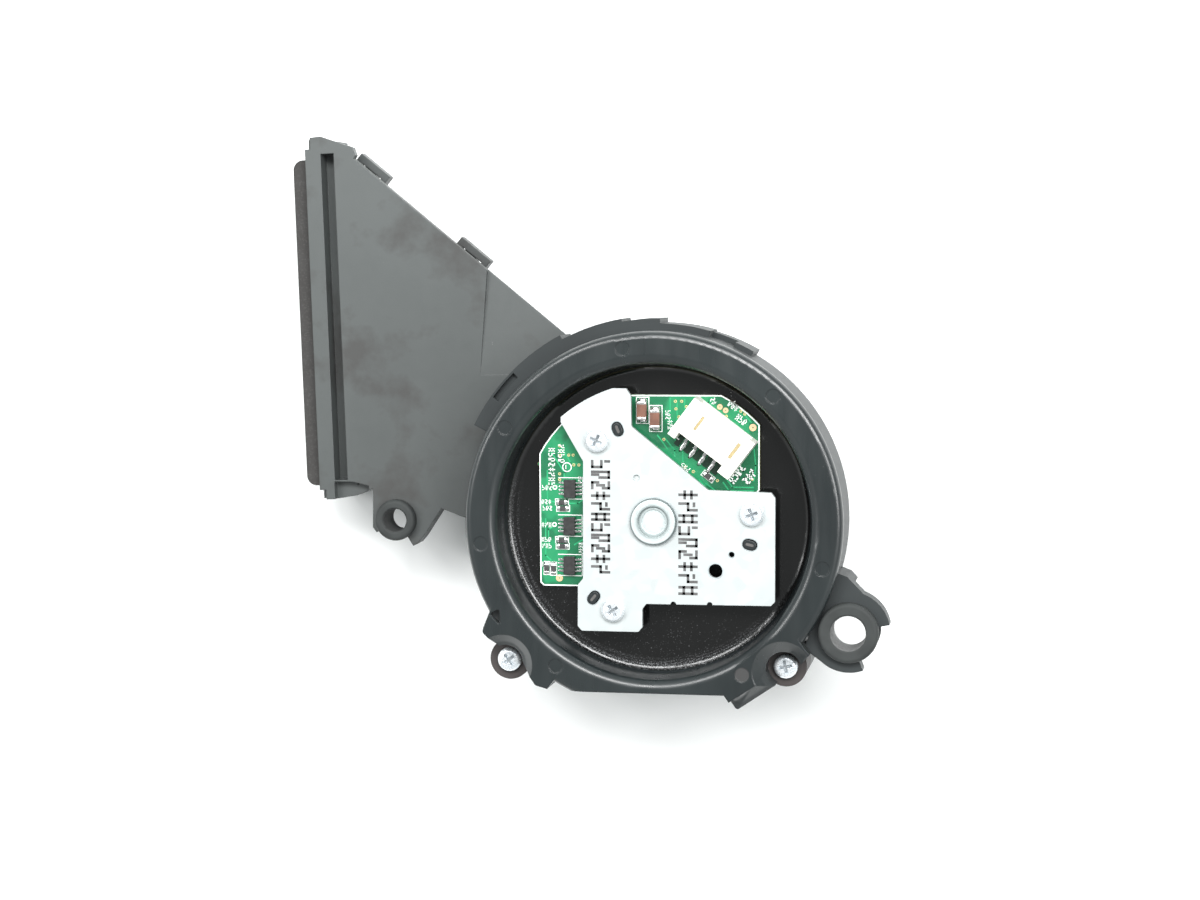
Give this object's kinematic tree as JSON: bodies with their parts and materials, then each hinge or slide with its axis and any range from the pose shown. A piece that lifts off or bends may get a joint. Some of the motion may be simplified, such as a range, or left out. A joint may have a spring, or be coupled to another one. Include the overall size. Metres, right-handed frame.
{
  "type": "vacuum cleaner suction blower",
  "caption": "Flat intake duct with a rubber mouth seal leading under a round fan housing that holds a small brushless motor, its circuit board and a centrifugal impeller.",
  "frame": {"origin": "where the fan axis meets the flat underside of the duct cover", "axes": "+Z along the fan axis, out of the motor side; the intake mouth faces -X and the exhaust faces -Y"},
  "size_m": [0.1084, 0.0989, 0.034],
  "materials": {
    "housing_black": "glossy moulded",
    "duct_grey": "satin moulded",
    "cover_grey": "satin moulded",
    "bellmouth_black": "satin moulded",
    "seal_rubber": "matte",
    "grommet_rubber": "matte, powdered",
    "screw_steel": "bright zinc",
    "plate_steel": "galvanised sheet",
    "holder_steel": "turned",
    "bearing_steel": "ground",
    "shaft_steel": "ground",
    "spring_steel": "spring temper",
    "cup_steel": "drawn, zinc plated",
    "magnet": "bonded ferrite",
    "lamination": "stacked laminations",
    "insulator": "moulded",
    "copper_wire": "enamelled copper wire",
    "impeller_black": "satin moulded",
    "board_green": "solder mask",
    "chip_black": "moulded epoxy",
    "solder": "tinned",
    "ceramic_brown": "fired ceramic",
    "passive_grey": "fired ceramic",
    "connector_ivory": "moulded nylon"
  },
  "bodies": {
    "housing": {"motor_housing": "housing_black", "duct_body": "duct_grey", "fan_casing": "duct_grey", "duct_cover": "cover_grey", "inlet_bellmouth": "bellmouth_black", "mouth_seal": "seal_rubber", "grommet_right": "grommet_rubber", "grommet_left": "grommet_rubber", "plate_screws": "screw_steel", "housing_screws": "screw_steel", "motor_plate": "plate_steel", "bearing_holder": "holder_steel", "bearing_outer_rings": "bearing_steel", "bearing_balls": "bearing_steel", "stator_core": "lamination", "stator_insulator": "insulator", "stator_windings": "copper_wire", "circuit_board": "board_green", "power_transistors": "chip_black", "transistor_leads": "solder", "bulk_capacitors": "ceramic_brown", "chip_passives": "passive_grey", "driver_chip": "chip_black", "connector_housing": "connector_ivory", "connector_contacts": "solder"},
    "rotor": {"bearing_inner_rings": "bearing_steel", "shaft": "shaft_steel", "retaining_clip": "spring_steel", "preload_spring": "spring_steel", "rotor_cup": "cup_steel", "rotor_magnet": "magnet", "impeller": "impeller_black", "impeller_shroud": "impeller_black"}
  },
  "joints": [
    {"name": "impeller_spin", "type": "hinge", "parent": "housing", "child": "rotor", "pos_m": [0, 0, 0.02], "axis": [0, 0, 1], "continuous": true}
  ]
}
